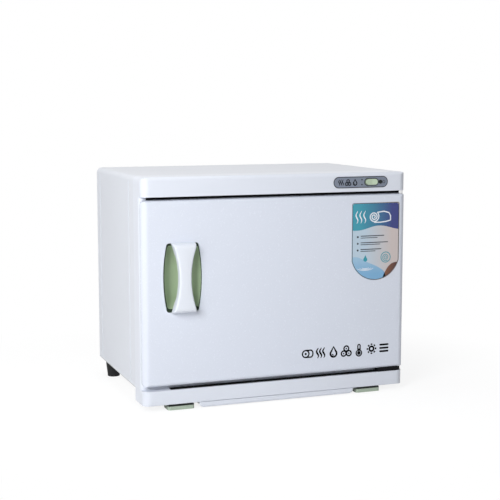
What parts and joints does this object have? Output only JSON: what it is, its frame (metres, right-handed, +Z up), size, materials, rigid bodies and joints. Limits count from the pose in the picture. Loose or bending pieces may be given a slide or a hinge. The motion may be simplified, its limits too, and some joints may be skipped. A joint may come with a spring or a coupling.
{
  "type": "towel warmer sterilizer cabinet",
  "caption": "White heated towel cabinet with a hinged front door, recessed strap grip, wire racks, germicidal tube, rocker switch and drip tray.",
  "frame": {"origin": "on the floor under the middle of the whole cabinet's box, grip and cord gland included", "axes": "+X to the right as seen from the front, +Y to the rear, +Z up"},
  "size_m": [0.45, 0.322, 0.3668],
  "materials": {
    "white_body": "glossy white",
    "white_door": "glossy white with a cool cast",
    "white_enamel": "satin white enamel on steel",
    "rear_enamel": "satin white enamel on steel",
    "galvanised": "dull zinc",
    "chamber_aluminium": "satin mill finish",
    "stainless_wire": "polished wire",
    "stainless_sheet": "brushed",
    "pin_steel": "turned",
    "screw_steel": "zinc plated",
    "white_inner": "satin white",
    "cup_green": "smooth leaf green",
    "strap_white": "glossy white",
    "gasket_rubber": "soft pale grey",
    "plate_grey": "satin grey film",
    "rocker_green": "glossy pale green",
    "case_black": "matt black",
    "pilot_dark": "dark lens",
    "dot_lens": "small dark lens",
    "board": "circuit board",
    "label_print": "glossy printed film",
    "foot_green": "soft pale green",
    "foot_black": "matt black",
    "tray_white": "glossy white",
    "bush_nylon": "natural nylon",
    "gland_black": "matt black",
    "foam": "cut foam",
    "blanket": "glass wool felt",
    "heater_silicone": "silicone rubber",
    "wire_insulation": "silicone sleeve",
    "tube_glass": "clear quartz",
    "cap_aluminium": "pressed",
    "holder_white": "heat-proof plastic",
    "starter_white": "plain",
    "socket_white": "plain",
    "ballast_steel": "lacquered laminations",
    "terminal_white": "plain",
    "disc_steel": "pressed cap",
    "magnet": "sintered ferrite",
    "channel_black": "matt black",
    "strike_steel": "zinc plated",
    "sensor_case": "plain"
  },
  "bodies": {
    "cabinet": {"front_frame": "white_body", "outer_casing": "white_enamel", "rear_panel": "rear_enamel", "base_pan": "galvanised", "inner_liner": "chamber_aluminium", "liner_legs": "galvanised", "heater_pad": "heater_silicone", "left_blanket": "blanket", "right_blanket": "blanket", "rear_blanket": "blanket", "base_blanket": "blanket", "top_blanket": "blanket", "thermostat": "disc_steel", "thermal_cutout": "disc_steel", "rack_ledges": "chamber_aluminium", "lower_rack": "stainless_wire", "upper_rack": "stainless_wire", "uv_tube": "tube_glass", "tube_caps": "cap_aluminium", "lamp_holders": "holder_white", "lamp_guard": "stainless_sheet", "electrics_tray": "galvanised", "ballast": "ballast_steel", "starter": "starter_white", "starter_socket": "socket_white", "terminal_block": "terminal_white", "wiring": "wire_insulation", "control_plate": "plate_grey", "rocker_case": "case_black", "pilot_lamp": "pilot_dark", "indicator_dots": "dot_lens", "indicator_board": "board", "cord_gland": "gland_black", "gland_nut": "gland_black", "hinge_pin_top": "pin_steel", "hinge_pin_bottom": "pin_steel", "catch_magnets": "magnet", "door_sensor": "sensor_case", "tray_runners": "galvanised", "front_feet": "foot_green", "rear_feet": "foot_black", "foot_screws": "screw_steel", "base_screws": "screw_steel", "casing_screws": "screw_steel", "liner_screws": "screw_steel", "sill_channel": "channel_black"},
    "door": {"door_shell": "white_door", "door_inner_panel": "white_inner", "door_foam": "foam", "door_gasket": "gasket_rubber", "handle_cup": "cup_green", "handle_strap": "strap_white", "handle_screws": "screw_steel", "door_screws": "screw_steel", "door_label": "label_print", "hinge_bushes": "bush_nylon", "strike_plates": "strike_steel", "sensor_magnet": "magnet"},
    "rocker": {"rocker_button": "rocker_green"},
    "tray": {"drip_tray": "tray_white"}
  },
  "joints": [
    {"name": "door_hinge", "type": "hinge", "parent": "cabinet", "child": "door", "pos_m": [0.218, -0.137, 0.1852], "axis": [0, 0, 1], "range_deg": [0, 120]},
    {"name": "rocker_tilt", "type": "hinge", "parent": "cabinet", "child": "rocker", "pos_m": [0.1613, -0.138, 0.3512], "axis": [0, 0, -1], "range_deg": [0, 13]},
    {"name": "tray_slide", "type": "slide", "parent": "cabinet", "child": "tray", "axis": [0, -1, 0], "range_m": [0, 0.14]}
  ]
}
